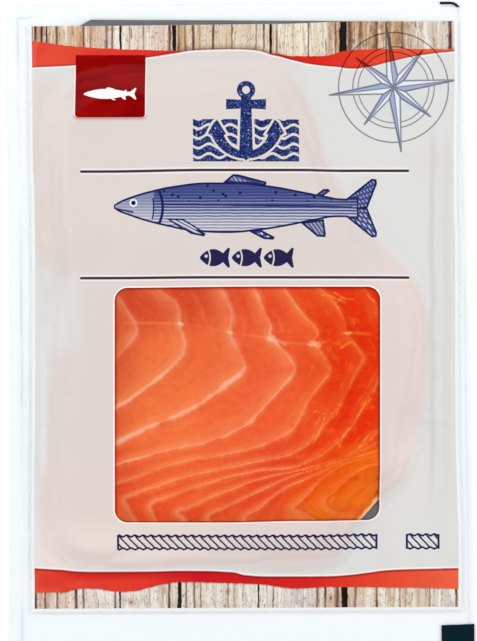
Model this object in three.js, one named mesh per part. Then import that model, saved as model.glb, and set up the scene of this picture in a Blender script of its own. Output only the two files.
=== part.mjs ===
// A vacuum pack of sliced smoked salmon, lying on its back.
//
// Four layers make the pack. The back film is flat. A silver card board lies on it, the slices
// lie on the board in one pile, and the front film is drawn down over both and meets the back
// film in a flat flange all round, where the two are welded.
//
// Millimetres, +Z up. The origin is on the underside, at the middle of the pack, +X points to the
// right of someone who reads the front, and +Y points to the top of the print.
import * as THREE from "three";

// The pouch, whose long sides are drawn in a little by the vacuum, and the weld round its edge.
const POUCH = { width: 149.5, length: 210, corner: 4, drawnIn: 0.9 };
const WELD_WIDTH = 3.2;
const FILM = 0.25;

// The card board, which lies slightly turned in the pouch and has its corners cut off.
const BOARD = { width: 128, length: 186, thickness: 0.6, x: 0, y: 6.4, turnDegrees: -0.76 };
const BOARD_CUT = { across: 16, along: 9 };

// The pile of slices: the height of its blunt edge, of its shoulder and of its middle.
const PILE = { x: -5, y: 2, edge: 0.9, shoulder: 5, crown: 7.6 };

// The free air between two layers that lie on each other.
const GAP = 0.1;

// The pile's outline, anticlockwise from its right-hand side. It is wide below and narrows to the
// upper left, as slices cut on the slant from one side of a fish do.
const PILE_OUTLINE = [
  [61.8, -6], [59, 11], [43, 31], [30, 52], [25.5, 67], [17, 82], [-20, 84], [-50, 80.5], [-61, 70],
  [-62, 40], [-59.8, 9], [-61.3, -22], [-61.5, -66], [-52, -75], [-13, -75.5], [26, -75.5],
  [33.5, -69.5], [35.6, -62.5], [44.5, -54], [53, -48], [57, -33], [60.5, -22],
];

// The pile's shoulder, as [inset from the outline, share of the way from edge to shoulder height].
const SHOULDER_STEPS = [[13, 1], [6, 0.88], [2.6, 0.68], [0.9, 0.38], [0, 0]];
// The rings of the crowned middle, as shares of the innermost shoulder ring.
const CROWN_SHARES = [0.26, 0.52, 0.78];
// The film where it leaves the pile, as [distance out from the pile, height above the board].
const DRAPE_STEPS = [[0.5, 1.9], [1.7, 0.6], [4.2, 0]];
// The film where it leaves the board, as [distance out, share of its height over the flange].
const BOARD_DRAPE_STEPS = [[0, 1], [1.8, 0.3], [3.8, 0]];
const BOARD_MARGIN = 0.8;

// Steps in one corner, one short side and one long side of a ring, and samples of the outline.
const STEPS = { corner: 4, short: 18, long: 26, outline: 720 };

// Heights of the undersides of the layers.
const BOARD_Z = FILM + GAP;
const PILE_Z = BOARD_Z + BOARD.thickness + GAP;
const FLANGE_Z = FILM + GAP;

const PILE_CENTRE = new THREE.Vector2(PILE.x, PILE.y);
const BOARD_CENTRE = new THREE.Vector2(BOARD.x, BOARD.y);
const BOARD_TURN = THREE.MathUtils.degToRad(BOARD.turnDegrees);

const film = { roughness: 0.25, transparent: true, opacity: 0.5 };
const MATERIALS = {
  frontFilm: new THREE.MeshStandardMaterial({ ...film, color: 0xe0d8d4 }),
  backFilm: new THREE.MeshStandardMaterial({ ...film, color: 0xf1f6f8 }),
  board: new THREE.MeshStandardMaterial({ color: 0x8d9498, roughness: 0.35, metalness: 0.7 }),
  salmon: new THREE.MeshStandardMaterial({ color: 0xee6633, roughness: 0.3 }),
};

// The four corner directions of a rectangle, anticlockwise from the top right.
const CORNERS = [[1, 1], [-1, 1], [-1, -1], [1, -1]];

// Points round a rectangle with round corners, anticlockwise from the right end of the top corner.
// Every size gives the same number of points, so rings of different sizes can be joined.
function roundedRectangle(width, length, radius, drawnIn = 0) {
  const corners = CORNERS.map(([x, y], quarter) => {
    const centre = new THREE.Vector2(x * (width / 2 - radius), y * (length / 2 - radius));
    return Array.from({ length: STEPS.corner + 1 }, (_, i) => {
      const angle = (quarter + i / STEPS.corner) * Math.PI / 2;
      return new THREE.Vector2(Math.cos(angle), Math.sin(angle)).multiplyScalar(radius).add(centre);
    });
  });
  return corners.flatMap((corner, quarter) => {
    const onLongSide = quarter % 2 === 1;
    const steps = onLongSide ? STEPS.long : STEPS.short;
    const next = corners[(quarter + 1) % corners.length];
    const side = Array.from({ length: steps - 1 }, (_, i) => {
      const share = (i + 1) / steps;
      const point = corner.at(-1).clone().lerp(next[0], share);
      if (onLongSide) point.x -= Math.sign(point.x) * drawnIn * Math.sin(share * Math.PI);
      return point;
    });
    return [...corner, ...side];
  });
}

function pouchRing(inset) {
  const [width, length] = [POUCH.width - 2 * inset, POUCH.length - 2 * inset];
  return roundedRectangle(width, length, POUCH.corner - inset / 2, POUCH.drawnIn);
}

// The board's outline with a margin round it, turned as the board lies.
function boardRing(margin) {
  const [width, length] = [BOARD.width + 2 * margin, BOARD.length + 2 * margin];
  return roundedRectangle(width, length, BOARD_CUT.along + margin)
    .map((p) => p.add(BOARD_CENTRE).rotateAround(BOARD_CENTRE, BOARD_TURN));
}

// The pile's outline, with one point in the direction of each point of the board's outline.
function pileRing() {
  const controls = PILE_OUTLINE.map(([x, y]) => new THREE.Vector3(x, y, 0));
  const curve = new THREE.CatmullRomCurve3(controls, true, "centripetal");
  const samples = curve.getPoints(STEPS.outline).map((p) => new THREE.Vector2(p.x, p.y).sub(PILE_CENTRE));
  return boardRing(0).map((edge) => {
    const direction = edge.sub(PILE_CENTRE).normalize();
    const next = samples.findIndex((b, i) => i > 0 && direction.cross(samples[i - 1]) <= 0
      && direction.cross(b) > 0 && direction.dot(b) > 0);
    const before = direction.cross(samples[next - 1]);
    const after = direction.cross(samples[next]);
    return samples[next - 1].clone().lerp(samples[next], before / (before - after)).add(PILE_CENTRE);
  });
}

// Each point of a ring, moved towards its partner on another ring by a distance, but by no more
// than a share of the way.
function stepTowards(ring, target, distance, mostShare = 1) {
  return ring.map((p, i) => {
    const way = target[i].clone().sub(p);
    return way.clampLength(0, Math.min(distance, mostShare * way.length())).add(p);
  });
}

// A film's steps from one ring out towards another, spread so that no two rings meet.
function stepsOut(ring, target, steps, heightOf) {
  return steps.map(([distance, height], i) => ({
    ring: stepTowards(ring, target, distance, (i + 1) / (steps.length + 1)),
    height: heightOf(height),
  }));
}

// The pile's top surface as rings, from its middle outwards, with heights above the pile's base.
function pileLevels() {
  const outline = pileRing();
  const middle = outline.map(() => PILE_CENTRE);
  const shoulder = SHOULDER_STEPS.map(([inset, share]) => ({
    ring: stepTowards(outline, middle, inset),
    height: THREE.MathUtils.lerp(PILE.edge, PILE.shoulder, share),
  }));
  const crown = CROWN_SHARES.map((share) => ({
    ring: shoulder[0].ring.map((p) => PILE_CENTRE.clone().lerp(p, share)),
    height: THREE.MathUtils.lerp(PILE.crown, PILE.shoulder, share ** 2),
  }));
  return [...crown, ...shoulder];
}

const raised = (levels, by) =>
  levels.map(({ ring, height }) => ring.map((p) => new THREE.Vector3(p.x, p.y, height + by)));

// A closed solid from rings that run from the middle of its top, over its rim, to the middle of
// its bottom. Each pair of rings is joined by a band, and a point closes each end.
function solidFromRings(rings, topCentre, bottomCentre) {
  const count = rings[0].length;
  const vertex = (ring, i) => 1 + ring * count + (i % count);
  const lastRing = rings.length - 1;
  const lastVertex = 1 + rings.length * count;
  const triangles = [];
  for (let i = 0; i < count; i++) {
    triangles.push(0, vertex(0, i), vertex(0, i + 1));
    for (let ring = 0; ring < lastRing; ring++) {
      triangles.push(vertex(ring, i), vertex(ring + 1, i), vertex(ring + 1, i + 1));
      triangles.push(vertex(ring, i), vertex(ring + 1, i + 1), vertex(ring, i + 1));
    }
    triangles.push(vertex(lastRing, i), lastVertex, vertex(lastRing, i + 1));
  }
  const geometry = new THREE.BufferGeometry();
  geometry.setFromPoints([topCentre, ...rings.flat(), bottomCentre]);
  geometry.setIndex(triangles);
  geometry.computeVertexNormals();
  return geometry;
}

function namedMesh(name, geometry, material) {
  const mesh = new THREE.Mesh(geometry, material);
  mesh.name = name;
  return mesh;
}

function plate(outline, thickness) {
  return new THREE.ExtrudeGeometry(new THREE.Shape(outline), { depth: thickness, bevelEnabled: false });
}

function backFilm() {
  return namedMesh("back_film", plate(pouchRing(0), FILM), MATERIALS.backFilm);
}

function backingBoard() {
  const outline = CORNERS.flatMap(([x, y]) => {
    const onSide = new THREE.Vector2(x * BOARD.width / 2, y * (BOARD.length / 2 - BOARD_CUT.along));
    const onEnd = new THREE.Vector2(x * (BOARD.width / 2 - BOARD_CUT.across), y * BOARD.length / 2);
    return x * y > 0 ? [onSide, onEnd] : [onEnd, onSide];
  });
  const mesh = namedMesh("backing_board", plate(outline, BOARD.thickness), MATERIALS.board);
  mesh.position.set(BOARD.x, BOARD.y, BOARD_Z);
  mesh.rotation.z = BOARD_TURN;
  return mesh;
}

function salmonSlices(levels) {
  const base = { ring: levels.at(-1).ring, height: 0 };
  const [top, bottom] = [PILE.crown, 0].map((z) => new THREE.Vector3(PILE.x, PILE.y, z));
  const geometry = solidFromRings(raised([...levels, base], 0), top, bottom);
  const mesh = namedMesh("salmon_slices", geometry, MATERIALS.salmon);
  mesh.position.z = PILE_Z;
  return mesh;
}

// The front film lies on the pile, reaches down to the board beside it, steps off the board's edge
// and ends in the flange.
function frontFilm(levels) {
  const outline = levels.at(-1).ring;
  const overPile = levels.slice(0, -1).map(({ ring, height }) => ({ ring, height: PILE_Z + height + GAP }));
  const besidePile = stepsOut(outline, boardRing(0), DRAPE_STEPS, (height) => PILE_Z + height);
  const offBoard = stepsOut(boardRing(BOARD_MARGIN), pouchRing(WELD_WIDTH), BOARD_DRAPE_STEPS,
    (share) => THREE.MathUtils.lerp(FLANGE_Z, PILE_Z, share));
  const flange = [WELD_WIDTH, 0].map((inset) => ({ ring: pouchRing(inset), height: FLANGE_Z }));
  const underside = [...overPile, ...besidePile, ...offBoard, ...flange];
  const rings = [...raised(underside, FILM), ...raised(underside.toReversed(), 0)];
  const middle = new THREE.Vector3(PILE.x, PILE.y, PILE_Z + PILE.crown + GAP);
  const top = middle.clone().setZ(middle.z + FILM);
  return namedMesh("front_film", solidFromRings(rings, top, middle), MATERIALS.frontFilm);
}

const levels = pileLevels();
const pack = new THREE.Group();
pack.add(backFilm(), backingBoard(), salmonSlices(levels), frontFilm(levels));

export default pack;
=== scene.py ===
"""A vacuum pack of sliced smoked salmon, lying on its back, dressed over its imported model.

From the floor up it is a clear back film, a silver card board, a pile of slices, and a front film
that the vacuum draws down over both. Sizes are in millimetres until a mesh is written.
"""

import math
from functools import partialmethod, reduce

import bpy
import numpy as np
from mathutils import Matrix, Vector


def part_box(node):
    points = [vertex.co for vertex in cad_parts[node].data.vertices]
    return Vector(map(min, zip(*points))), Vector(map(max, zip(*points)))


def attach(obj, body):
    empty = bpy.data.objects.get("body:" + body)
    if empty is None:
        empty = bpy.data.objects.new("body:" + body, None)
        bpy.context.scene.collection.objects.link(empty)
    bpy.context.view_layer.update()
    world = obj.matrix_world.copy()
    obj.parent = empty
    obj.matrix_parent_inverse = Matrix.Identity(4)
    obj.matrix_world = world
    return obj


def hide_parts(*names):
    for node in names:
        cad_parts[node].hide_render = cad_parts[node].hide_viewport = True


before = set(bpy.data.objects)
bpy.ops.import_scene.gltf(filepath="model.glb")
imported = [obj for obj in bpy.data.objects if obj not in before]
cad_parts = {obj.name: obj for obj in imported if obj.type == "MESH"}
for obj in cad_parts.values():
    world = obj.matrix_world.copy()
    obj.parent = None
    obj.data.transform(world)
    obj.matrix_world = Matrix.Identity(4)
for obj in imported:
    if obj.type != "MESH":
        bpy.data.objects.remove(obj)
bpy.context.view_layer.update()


# ---------------------------------------------------------------------------------------------
# Back film. A clear sheet of polyamide and polyethylene that the pack lies on. It is cut with
# round corners, flat on the floor, and puckers a little where the board's edge presses into it.

MM = 0.001
POUCH_LOW, POUCH_HIGH = (np.array(corner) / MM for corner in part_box("back_film"))
POUCH_CORNER = 4.0
DRAWN_IN = 0.9
LEAN = (-0.5, 1.7)
WELD_WIDTH = 3.2
BACK_SPACING = 1.5
BACK_THICKNESS = 0.2
SMOOTH_BELOW = math.radians(50)


class Socket:
    """An output of one material's nodes, which Python can reckon with."""

    def __init__(self, tree, output=None):
        self.tree = tree
        self.output = output

    def node(self, kind, values=None, output=0, stops=(), points=(), **settings):
        """Adds a node: first its settings, then the values or links of its sockets."""
        made = self.tree.nodes.new("ShaderNode" + kind)
        for name, value in settings.items():
            setattr(made, name, value)
        if stops:
            ramp = made.color_ramp.elements
            while len(ramp) < len(stops):
                ramp.new(1.0)
            for element, (place, colour) in zip(ramp, stops):
                element.position = place
                element.color = colour
        if points:
            curve = made.mapping.curves[0]
            while len(curve.points) < len(points):
                curve.points.new(1.0, 1.0)
            for point, place in zip(curve.points, points):
                point.location = place
                point.handle_type = "AUTO_CLAMPED"
            made.mapping.update()
        for name, value in (values or {}).items():
            if isinstance(value, Socket):
                self.tree.links.new(value.output, made.inputs[name])
            else:
                made.inputs[name].default_value = value
        return Socket(self.tree, made.outputs[output])

    def math(self, operation, *others, clamp=False):
        values = dict(enumerate((self, *others)))
        return self.node("Math", values, operation=operation, use_clamp=clamp)

    __add__ = __radd__ = partialmethod(math, "ADD")
    __sub__ = partialmethod(math, "SUBTRACT")
    __mul__ = __rmul__ = partialmethod(math, "MULTIPLY")
    __truediv__ = partialmethod(math, "DIVIDE")
    __abs__ = partialmethod(math, "ABSOLUTE")
    root = partialmethod(math, "SQRT")
    least = partialmethod(math, "MINIMUM")
    most = partialmethod(math, "MAXIMUM")

    def __rsub__(self, other):
        return self.math("MULTIPLY_ADD", -1.0, other)

    def between(self, low, high):
        """0 at low and 1 at high, with a smooth run between, whichever of the two is larger."""
        values = {"Value": self, "From Min": low, "From Max": high}
        return self.node("MapRange", values, interpolation_type="SMOOTHSTEP")

    def mix(self, low, high, mode="MIX"):
        """From one colour to another as this goes from 0 to 1."""
        low, high = (c if isinstance(c, Socket) else paint(*c) for c in (low, high))
        return self.node("Mix", {0: self, 6: low, 7: high}, output=2, data_type="RGBA", blend_type=mode)

    def blend(self, other, share, mode="MIX"):
        """Lays another colour over this one."""
        return share.mix(self, other, mode)


def new_material(name):
    """A material with nothing in it yet, and its Object coordinates in millimetres."""
    material = bpy.data.materials.new(name)
    material.use_nodes = True
    material.node_tree.nodes.clear()
    start = Socket(material.node_tree)
    metres = start.node("TexCoord", output="Object")
    place = start.node("VectorMath", {0: metres, "Scale": 1 / MM}, operation="SCALE")
    return material, place


def finish_material(shader):
    out = shader.tree.nodes.new("ShaderNodeOutputMaterial")
    shader.tree.links.new(shader.output, out.inputs["Surface"])


def noise(place, scale, detail=2.0, output="Fac"):
    """Smooth noise from 0 to 1, with lumps about one over the scale in millimetres wide."""
    return place.node("TexNoise", {"Vector": place, "Scale": scale, "Detail": detail}, output=output)


FILM_TINT = (0.991, 0.997, 0.999, 1.0)


def clear_film(place, gloss):
    """Clear film: what lies behind it, lightly tinted, under the shine of its surface."""
    through = place.node("BsdfTransparent", {"Color": FILM_TINT})
    ripple = noise(place, 0.35, 3.0)
    normal = place.node("Bump", {"Height": ripple, "Strength": 0.12, "Distance": 0.0004})
    shine = place.node("BsdfGlossy", {"Roughness": gloss, "Normal": normal}, distribution="GGX")
    facing = place.node("LayerWeight", {"Blend": 0.5, "Normal": normal}, output="Facing")
    return place.node("MixShader", {0: 0.003 + 0.35 * facing.math("POWER", 5.0), 1: through, 2: shine})


def back_film_material():
    material, place = new_material("back film")
    finish_material(clear_film(place, 0.12))
    return material


def empty_scene_selection():
    bpy.ops.object.select_all(action="DESELECT")


def read_points(piece):
    points = np.empty(len(piece.data.vertices) * 3)
    piece.data.vertices.foreach_get("co", points)
    return points.reshape(-1, 3)


def film_sheet(name, spacing):
    """A flat grid cut like the pouch, its points in rows as an array of x and y, and how far each
    is from the cut edge."""
    size = POUCH_HIGH - POUCH_LOW
    columns, rows = (int(round(length / spacing)) for length in size[:2])
    empty_scene_selection()
    bpy.ops.mesh.primitive_grid_add(x_subdivisions=columns, y_subdivisions=rows, size=1)
    sheet = bpy.context.object
    sheet.name = name
    x, y = (read_points(sheet).reshape(rows + 1, columns + 1, 3)[:, :, k] * size[k] for k in (0, 1))
    # The corners of the grid are drawn onto quarter circles.
    inner_x, inner_y = size[0] / 2 - POUCH_CORNER, size[1] / 2 - POUCH_CORNER
    a = np.clip((np.abs(x) - inner_x) / POUCH_CORNER, 0, 1)
    b = np.clip((np.abs(y) - inner_y) / POUCH_CORNER, 0, 1)
    corner = (a > 0) & (b > 0)
    round_x = np.sign(x) * (inner_x + POUCH_CORNER * a * np.sqrt(1 - b ** 2 / 2))
    round_y = np.sign(y) * (inner_y + POUCH_CORNER * b * np.sqrt(1 - a ** 2 / 2))
    x, y = np.where(corner, round_x, x), np.where(corner, round_y, y)
    to_edge = np.minimum(size[0] / 2 - np.abs(x), size[1] / 2 - np.abs(y))
    # The left side is drawn in at its middle, and the right side leans in towards its top.
    along = np.clip((y + inner_y) / (2 * inner_y), 0, 1)
    leaning = LEAN[0] + (LEAN[1] - LEAN[0]) * along ** 1.5
    drawn_in = np.where(x < 0, DRAWN_IN * np.sin(math.pi * along), leaning)
    x = x * (1 - drawn_in / (size[0] / 2))
    return sheet, x, y, to_edge


def write_points(piece, x, y, z):
    """Puts a mesh's points where three arrays in millimetres say."""
    points = np.stack([np.ravel(x), np.ravel(y), np.ravel(z)], axis=1) * MM
    piece.data.vertices.foreach_set("co", np.ravel(points))
    piece.data.update()


def select_only(piece):
    empty_scene_selection()
    piece.select_set(True)
    bpy.context.view_layer.objects.active = piece


def apply_modifier(piece, kind, **settings):
    select_only(piece)
    modifier = piece.modifiers.new(kind.title(), kind)
    for name, value in settings.items():
        setattr(modifier, name, value)
    bpy.ops.object.modifier_apply(modifier=modifier.name)


def smooth_by_angle(piece):
    select_only(piece)
    bpy.ops.object.shade_smooth_by_angle(angle=SMOOTH_BELOW)


def waves(x, y, length, seed, count=7):
    """A smooth uneven surface between -1 and 1: waves of about one length in random directions."""
    random = np.random.default_rng(seed)
    total = np.zeros_like(x)
    for _ in range(count):
        heading, phase = random.uniform(0, math.tau, 2)
        pitch = length * random.uniform(0.7, 1.6)
        total += np.sin(math.tau * (x * math.cos(heading) + y * math.sin(heading)) / pitch + phase)
    return total / count


back_film, x, y, _ = film_sheet("back_film_sheet", BACK_SPACING)
pucker = 0.05 * (1 + waves(x, y, 13.0, seed=3))
write_points(back_film, x, y, pucker)
apply_modifier(back_film, "SOLIDIFY", thickness=BACK_THICKNESS * MM, offset=1.0)
smooth_by_angle(back_film)
back_film.data.materials.append(back_film_material())
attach(back_film, "root")
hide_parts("back_film")


# ---------------------------------------------------------------------------------------------
# Board. Card laminated with dull silver foil, die-cut with its corners off. It stiffens the pack
# and lies loose in the pouch. The model's solid has its shape, and gets the foil here.

BOARD_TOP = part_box("backing_board")[1][2] / MM


def paint(red, green, blue):
    """A colour given as a screen shows it, from 0 to 255, as the light that it stands for."""
    shares = [channel / 255 for channel in (red, green, blue)]
    light = [s / 12.92 if s <= 0.04045 else ((s + 0.055) / 1.055) ** 2.4 for s in shares]
    return (*light, 1.0)


def stretched(place, x, y):
    """Coordinates drawn out along the axes, for grain and streaks."""
    return place.node("VectorMath", {0: place, 1: (x, y, 1.0)}, operation="MULTIPLY")


def grain(place, x, y, detail):
    """Noise with lumps about one over x wide and one over y long."""
    return noise(stretched(place, x, y), 1.0, detail)


def board_material():
    material, place = new_material("silver board")
    rolled = grain(place, 0.05, 1.6, 3.0)
    mottled = noise(place, 0.12, 4.0)
    colour = (rolled * 0.5 + mottled * 0.5).mix((105, 108, 111), (143, 146, 149))
    dents = place.node("Bump", {"Height": mottled, "Strength": 0.3, "Distance": 0.0003})
    finish_material(place.node("BsdfPrincipled", {
        "Base Color": colour, "Metallic": 0.55, "Roughness": 0.34 + 0.18 * rolled, "Normal": dents}))
    return material


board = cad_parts["backing_board"]
board.data.materials.clear()
board.data.materials.append(board_material())


# ---------------------------------------------------------------------------------------------
# Pile of slices. Thin slices of cold-smoked salmon, cut on the slant from one side of a fish and
# laid on each other. White fat runs in folded lines between the blocks of muscle, and a thin
# seam crosses them along the middle of the side.

PILE_GRID = 190
PILE_CENTRE = (-5.0, 2.0)
SLICE = 1.55
SLICE_EDGES = [(0.0, 0.0), (1.6, 3.0), (4.4, 5.0)]
EDGE_RUN = 3.4
CROWN = 2.75
CROWN_REACH = (66.0, 84.0)
UNEVEN = 0.16
PILE_LIFT = 0.03
FAT_CREASE = {"depth": 0.07, "width": 0.8}
OUTER_SPREAD = 12.0
SLICE_CORNER = {"angle": math.radians(-57.0), "width": math.radians(6.5), "out": 0.029}
PRINT_TURN = math.radians(-0.45)

# The fat lines that the window shows, from left to right, each from its upper end over the fold
# at its right to the fold at its lower left.
FAT_LINES = [
    [(-62, 38), (-49, 22), (-39, 10.5), (-33.5, 3), (-32.5, -0.5), (-35, -4.5), (-39.5, -10),
     (-51, -20), (-66, -27), (-90, -38)],
    [(-50, 60), (-33, 21), (-24.5, 12), (-19.5, 8), (-18.8, 2), (-17.2, -6.5), (-21.5, -12),
     (-29.5, -18.5), (-39, -25), (-64, -37), (-90, -49)],
    [(-25, 60), (-10.5, 21), (-5.5, 13), (-1.8, 5), (-2.7, -1.3), (2.1, -12), (-3.7, -17.5),
     (-15.5, -25.7), (-29, -31.5), (-39.5, -36.5), (-64, -45), (-90, -54)],
    [(-5, 60), (0.5, 21), (5.6, 12), (8, 6), (10.3, 1.6), (10, -2.6), (14.9, -7.3), (18.2, -12.9),
     (14.7, -17.7), (9, -24), (3, -30.3), (-8.2, -35.6), (-20, -38.2), (-39.5, -43.5), (-64, -51),
     (-90, -60)],
    [(4, 60), (10, 21), (15.5, 12), (20.7, 4.5), (25.6, -1), (24.2, -4.7), (27.3, -8.2), (29.4, -13.6),
     (26, -18.2), (21.6, -24.4), (17.5, -32), (8.7, -36.8), (-4, -40.2), (-18.7, -42.6), (-33.4, -47.9),
     (-39.5, -49.8), (-54, -53.5), (-52, -64), (-46, -90)],
    [(16, 60), (19.7, 21), (26.4, 12.8), (31, 8.1), (33.7, 2.6), (34.9, -1.4), (38, -5.8), (40.4, -9.2),
     (38, -13.4), (34.4, -20.6), (26.8, -31.8), (18.5, -39.5), (3.4, -43), (-17, -47.5), (-33.4, -52.9),
     (-36.7, -54.4), (-35.8, -56.4), (-33.2, -61), (-28, -90)],
    [(34, 60), (36, 21), (43, 9.3), (49.3, -5), (40.6, -23.8), (33.5, -34.7), (20.7, -43.6),
     (5.3, -45.6), (-7, -48.5), (-20.1, -53), (-28, -56), (-28.2, -57.6), (-26.5, -60.7), (-19, -90)],
    [(48, 60), (52, 12), (57, -5), (50, -26), (36, -40.5), (20.7, -45.2), (10.7, -47), (-4, -52),
     (-16, -57.2), (-19.6, -58.6), (-17, -61.3), (-10, -90)],
    [(66, 60), (66, 12), (66, -8), (54, -30), (35, -40.8), (19.4, -46.2), (6.4, -52), (-4, -57.2),
     (-9.7, -60), (-7, -64), (0, -90)],
    [(90, 60), (80, 5), (66, -25), (50, -37), (35, -42), (24, -47), (15, -51), (6.4, -57.5), (2, -60.5),
     (4, -66), (10, -90)],
    [(100, 50), (90, -10), (60, -36), (32.5, -43.7), (26.5, -48.3), (19.5, -55.5), (17.5, -57.3),
     (22, -59.5), (34, -68), (40, -90)],
    [(110, 40), (95, -20), (58, -40), (39.3, -45), (30.7, -52), (27.2, -55.5), (31.5, -59), (37, -59.8),
     (52, -64), (60, -90)],
]
SEAM = [(-45, 2), (-32, 1.9), (-19, 1.7), (-10, 0.5), (-3, -1.1), (9.7, -2.9), (16, -4.4), (23.6, -4.8),
        (29, -3.6), (34.8, -1.3), (46, -2.6), (66, -5)]
# Short wisps of fat in the redder flesh at the right.
WISPS = [
    [(26.6, 10.9), (29.4, 10.5), (31.2, 9.8), (34, 8.4)],
    [(30.2, 12), (33.6, 9.9), (36.5, 9.6)],
    [(41.3, 10.9), (44, 8.2)],
    [(32.6, -6.1), (35.8, -4.2), (37.5, -4.6)],
    [(16.1, -26.6), (18.6, -27.2), (21.2, -27.1)],
    [(24.2, -26.2), (28, -27.2), (31.2, -26.6), (33, -23.4)],
    [(27.5, -28.2), (25.7, -33.4), (23.9, -36.6)],
    [(35.8, -31), (33, -35.2), (32.1, -37.9)],
    [(41.8, -33.8), (38.6, -37.9)],
    [(37.6, -28.8), (40.4, -24.2)],
]
# Patches where the flesh is paler, redder or more golden: a colour, its share, the patch's middle,
# and its reach across and up. The last two lie over the lean flesh at the right.
FLESH_PATCHES = [
    ((243, 120, 64), 0.8, (-22, -16), (34, 30)), ((210, 70, 38), 0.85, (-30, 13), (44, 17)),
    ((218, 84, 48), 0.5, (-46, -8), (18, 20)), ((241, 98, 56), 0.6, (6, -15), (28, 30)),
    ((224, 52, 14), 0.7, (12, -47), (30, 15)), ((246, 128, 70), 0.34, (-16, -42), (27, 18)),
    ((243, 112, 4), 0.95, (42, -56), (32, 23)), ((230, 54, 10), 0.46, (25, -46), (15, 11)),
]
FAT_WIDTHS = [(-1, 0.5), (0, 0.6), (1, 0.74), (2, 0.95), (3, 0.58), (4, 0.42), (5, 0.34), (6, 0.32),
              (12, 0.30)]
FAT_PAINTS = [(0.0, (248, 160, 110)), (0.1, (253, 182, 148)), (0.2, (253, 180, 144)),
              (0.3, (250, 156, 102)), (0.5, (249, 144, 84))]


def smooth_line(controls, steps=14, closed=False):
    """Points on a smooth curve through some controls, which doesn't swing out where they lie close
    together."""
    p = np.array(controls, float)
    ends = (p[-1:], p[:2]) if closed else (2 * p[:1] - p[1:2], 2 * p[-1:] - p[-2:-1])
    p = np.vstack([ends[0], p, ends[1]])
    knots = np.concatenate([[0], np.cumsum(np.sqrt(np.hypot(*np.diff(p, axis=0).T)))])
    spans = []
    for i in range(1, len(p) - 2):
        t = np.linspace(knots[i], knots[i + 1], steps, endpoint=False)[:, None]
        level = [(p[j] * (knots[j + 1] - t) + p[j + 1] * (t - knots[j])) / (knots[j + 1] - knots[j])
                 for j in (i - 1, i, i + 1)]
        level = [(level[j] * (knots[i + 1 + j] - t) + level[j + 1] * (t - knots[i - 1 + j]))
                 / (knots[i + 1 + j] - knots[i - 1 + j]) for j in (0, 1)]
        spans.append((level[0] * (knots[i + 1] - t) + level[1] * (t - knots[i]))
                     / (knots[i + 1] - knots[i]))
    return np.vstack(spans if closed else spans + [p[-2:-1]])


def turned(x, y, angle):
    """Coordinates turned about the pack's middle."""
    return x * math.cos(angle) - y * math.sin(angle), x * math.sin(angle) + y * math.cos(angle)


def pile_outline():
    """The pile's outline as angles round its middle and distances from it, from its solid."""
    points = read_points(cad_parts["salmon_slices"]) / MM
    base = points[:, 2].min()
    rim = points[points[:, 2] < base + 0.05][:, :2] - PILE_CENTRE
    rim = np.unique(np.round(rim[np.hypot(*rim.T) > 1], 2), axis=0)
    rim = rim[np.argsort(np.arctan2(rim[:, 1], rim[:, 0]))]
    smooth = smooth_line(rim, steps=8, closed=True)
    angle = np.arctan2(smooth[:, 1], smooth[:, 0])
    # A slice's corner reaches a little further out at the lower right.
    off = (angle - SLICE_CORNER["angle"]) / SLICE_CORNER["width"]
    smooth *= (1 + SLICE_CORNER["out"] * np.exp(-off ** 2 / 2))[:, None]
    order = np.argsort(angle)
    return angle[order], np.hypot(*smooth[order].T), smooth + PILE_CENTRE


def distance_to(x, y, line, closed=False):
    """For each point, how far a line is, on which side of it, and how far along it."""
    ends = np.vstack([line, line[:1]]) if closed else line
    nearest = np.full(x.shape, np.inf)
    side = np.zeros(x.shape)
    along = np.zeros(x.shape)
    run = 0.0
    for (ax, ay), (bx, by) in zip(ends, ends[1:]):
        length = math.hypot(bx - ax, by - ay)
        ux, uy = (bx - ax) / length, (by - ay) / length
        t = np.clip((x - ax) * ux + (y - ay) * uy, 0, length)
        gap = np.hypot(x - ax - t * ux, y - ay - t * uy)
        closer = gap < nearest - 1e-9
        nearest = np.where(closer, gap, nearest)
        side = np.where(closer, np.sign(ux * (y - ay) - uy * (x - ax)), side)
        along = np.where(closer, run + t, along)
        run += length
    return nearest, side, along


OUTLINE_ANGLES, OUTLINE_RADII, OUTLINE = pile_outline()


def outline_radius(angle):
    return np.interp(angle, OUTLINE_ANGLES, OUTLINE_RADII, period=math.tau)


def smoothstep(t):
    t = np.clip(t, 0, 1)
    return t * t * (3 - 2 * t)


def pile_height(x, y):
    """How high the pile stands over the board, and how far each point is inside its outline."""
    gap, _, _ = distance_to(x, y, OUTLINE, closed=True)
    across, up = x - PILE_CENTRE[0], y - PILE_CENTRE[1]
    inside = np.hypot(across, up) < outline_radius(np.arctan2(up, across))
    inset = np.where(inside, gap, -gap)
    height = np.zeros_like(x)
    for k, (nearest, wander) in enumerate(SLICE_EDGES):
        edge = nearest + wander * (0.5 + 0.5 * waves(x, y, 42.0, seed=20 + k, count=4))
        height += SLICE * (0.45 * (inset > edge) + 0.55 * smoothstep((inset - edge) / EDGE_RUN))
    dome = 1 - (across / CROWN_REACH[0]) ** 2 - (up / CROWN_REACH[1]) ** 2
    height += CROWN * np.clip(dome, 0, 1) * smoothstep(inset / 16)
    height += UNEVEN * waves(x, y, 34.0, seed=8) * smoothstep(inset / 10)
    return np.where(inside, height, 0.0), inset


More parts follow.
